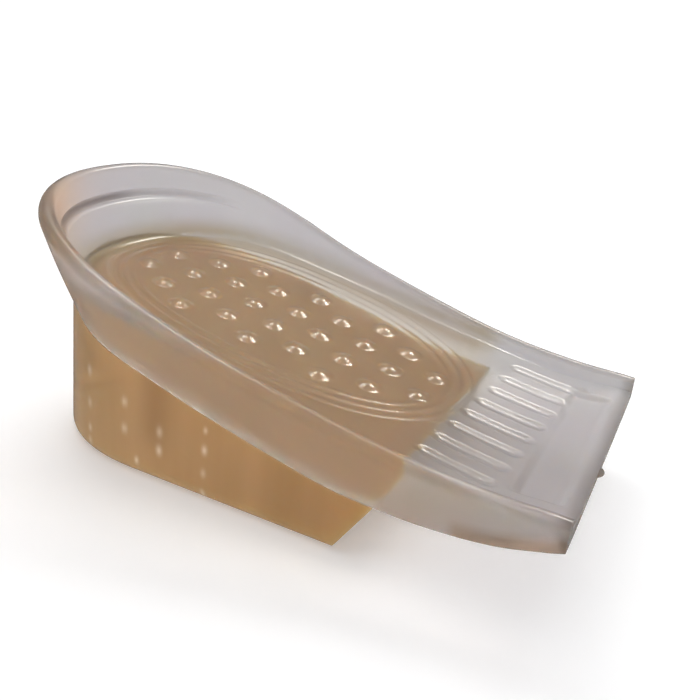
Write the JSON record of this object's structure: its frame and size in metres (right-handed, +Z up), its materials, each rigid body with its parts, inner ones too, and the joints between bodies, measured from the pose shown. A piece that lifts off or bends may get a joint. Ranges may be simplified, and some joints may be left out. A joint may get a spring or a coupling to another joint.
{
  "type": "height-increasing insole",
  "caption": "Two-layer gel heel lift: a clear heel cup with massage domes, oval ridges and a thin fluted front flap, on an amber wedge block.",
  "frame": {"origin": "on the ground, half way along the insole's length and width", "axes": "+X from the heel to the front flap, +Z up out of the heel cup, Y across"},
  "size_m": [0.13, 0.0774, 0.0575],
  "materials": {
    "clear_gel": "clear glossy gel, faintly grey",
    "amber_gel": "translucent glossy amber gel"
  },
  "bodies": {
    "root": {"cup_insole": "clear_gel", "lift_block": "amber_gel"}
  },
  "joints": []
}
